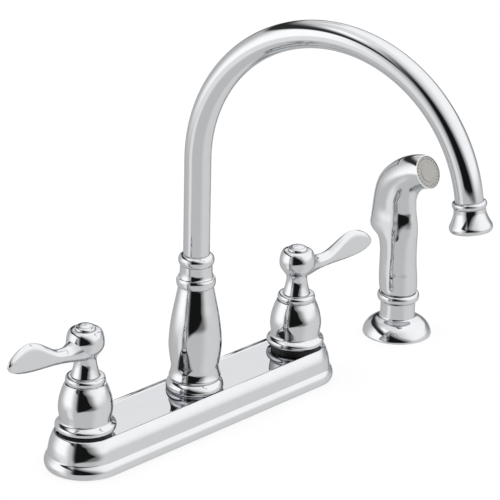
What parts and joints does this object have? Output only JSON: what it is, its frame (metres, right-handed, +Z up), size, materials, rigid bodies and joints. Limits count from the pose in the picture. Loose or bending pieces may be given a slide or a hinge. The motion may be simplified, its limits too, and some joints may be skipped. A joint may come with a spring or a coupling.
{
  "type": "two handle kitchen faucet",
  "caption": "Chrome kitchen faucet on a long rounded deck plate, with lever handles on bell-shaped covers, a swinging gooseneck spout and a separate pull-out hand sprayer in a deck holder.",
  "frame": {"origin": "on the spout's axis at the top of the sink deck", "axes": "+Z up along the spout's axis, +X to the user's right along the deck plate, -Y towards the user"},
  "size_m": [0.408, 0.2408, 0.3455],
  "materials": {
    "chrome": "polished chrome plate",
    "brass": "machined brass",
    "copper": "drawn copper tube",
    "rubber": "smooth black rubber",
    "gasket": "dull sheet rubber",
    "nylon": "natural moulded nylon",
    "steel": "stainless steel",
    "grey_plastic": "warm grey moulded plastic"
  },
  "bodies": {
    "deck_set": {"base_gasket": "gasket", "deck_plate": "chrome", "left_valve_body": "brass", "right_valve_body": "brass", "left_mix_tube": "copper", "right_mix_tube": "copper", "mixing_body": "brass", "spray_outlet_nipple": "brass", "post_o_rings": "rubber", "thrust_washer": "nylon", "spout_post_nut": "brass", "diverter_stop": "brass", "valve_lock_nuts": "brass", "left_bonnet_nut": "brass", "right_bonnet_nut": "brass", "left_seat": "rubber", "right_seat": "rubber", "left_seat_spring": "steel", "right_seat_spring": "steel", "bell_gaskets": "rubber", "left_bell": "chrome", "right_bell": "chrome", "spout_hub": "chrome", "hub_bush": "nylon", "mounting_washers": "steel", "mounting_nuts": "brass", "spray_holder": "chrome", "holder_gasket": "gasket", "holder_nut": "brass"},
    "left_handle": {"left_lever": "chrome", "left_stem": "brass", "left_button": "chrome", "left_screw": "steel"},
    "right_handle": {"right_lever": "chrome", "right_stem": "brass", "right_button": "chrome", "right_screw": "steel"},
    "spout": {"spout_tube": "chrome", "spout_collar": "chrome", "retaining_clip": "steel", "outlet_bell": "chrome", "aerator_housing": "brass", "aerator_insert": "nylon", "aerator_washer": "rubber"},
    "diverter": {"diverter_piston": "nylon"},
    "spray_coupling": {"hose_coupling": "brass", "coupling_clip": "steel"},
    "spray_head": {"spray_body": "chrome", "spray_face": "grey_plastic", "plunger_gland": "brass", "trigger_pin": "steel"},
    "trigger": {"spray_trigger": "chrome"},
    "plunger": {"spray_plunger": "brass", "plunger_spring": "steel"}
  },
  "joints": [
    {"name": "left_handle_turn", "type": "hinge", "parent": "deck_set", "child": "left_handle", "pos_m": [-0.1016, 0, 0.062], "axis": [0, 0, 1], "range_deg": [0, 90]},
    {"name": "right_handle_turn", "type": "hinge", "parent": "deck_set", "child": "right_handle", "pos_m": [0.1016, 0, 0.062], "axis": [0, 0, 1], "range_deg": [-80.2, 9.8]},
    {"name": "spout_swing", "type": "hinge", "parent": "deck_set", "child": "spout", "pos_m": [0, 0, 0.104], "axis": [0, 0, 1], "range_deg": [-69.7, 50.3]},
    {"name": "diverter_slide", "type": "slide", "parent": "deck_set", "child": "diverter", "axis": [0, 0, 1], "range_m": [0, 0.0029]},
    {"name": "spray_lift", "type": "slide", "parent": "deck_set", "child": "spray_coupling", "axis": [0, 0, 1], "range_m": [0, 0.12]},
    {"name": "spray_turn", "type": "hinge", "parent": "spray_coupling", "child": "spray_head", "pos_m": [0.215, 0, 0.033], "axis": [0, 0, 1], "continuous": true},
    {"name": "trigger_press", "type": "hinge", "parent": "spray_head", "child": "trigger", "pos_m": [0.215, -0.002, 0.129], "axis": [-1, 0, 0], "range_deg": [0, 5], "stiffness_Nm_per_rad": 0.5, "springref_deg": -5.73},
    {"name": "plunger_slide", "type": "slide", "parent": "spray_head", "child": "plunger", "axis": [0, -1, 0], "range_m": [0, 0.0028]}
  ],
  "couplings": [
    {"joint": "plunger_slide", "follows": "trigger_press", "m_per_rad": 0.031}
  ]
}
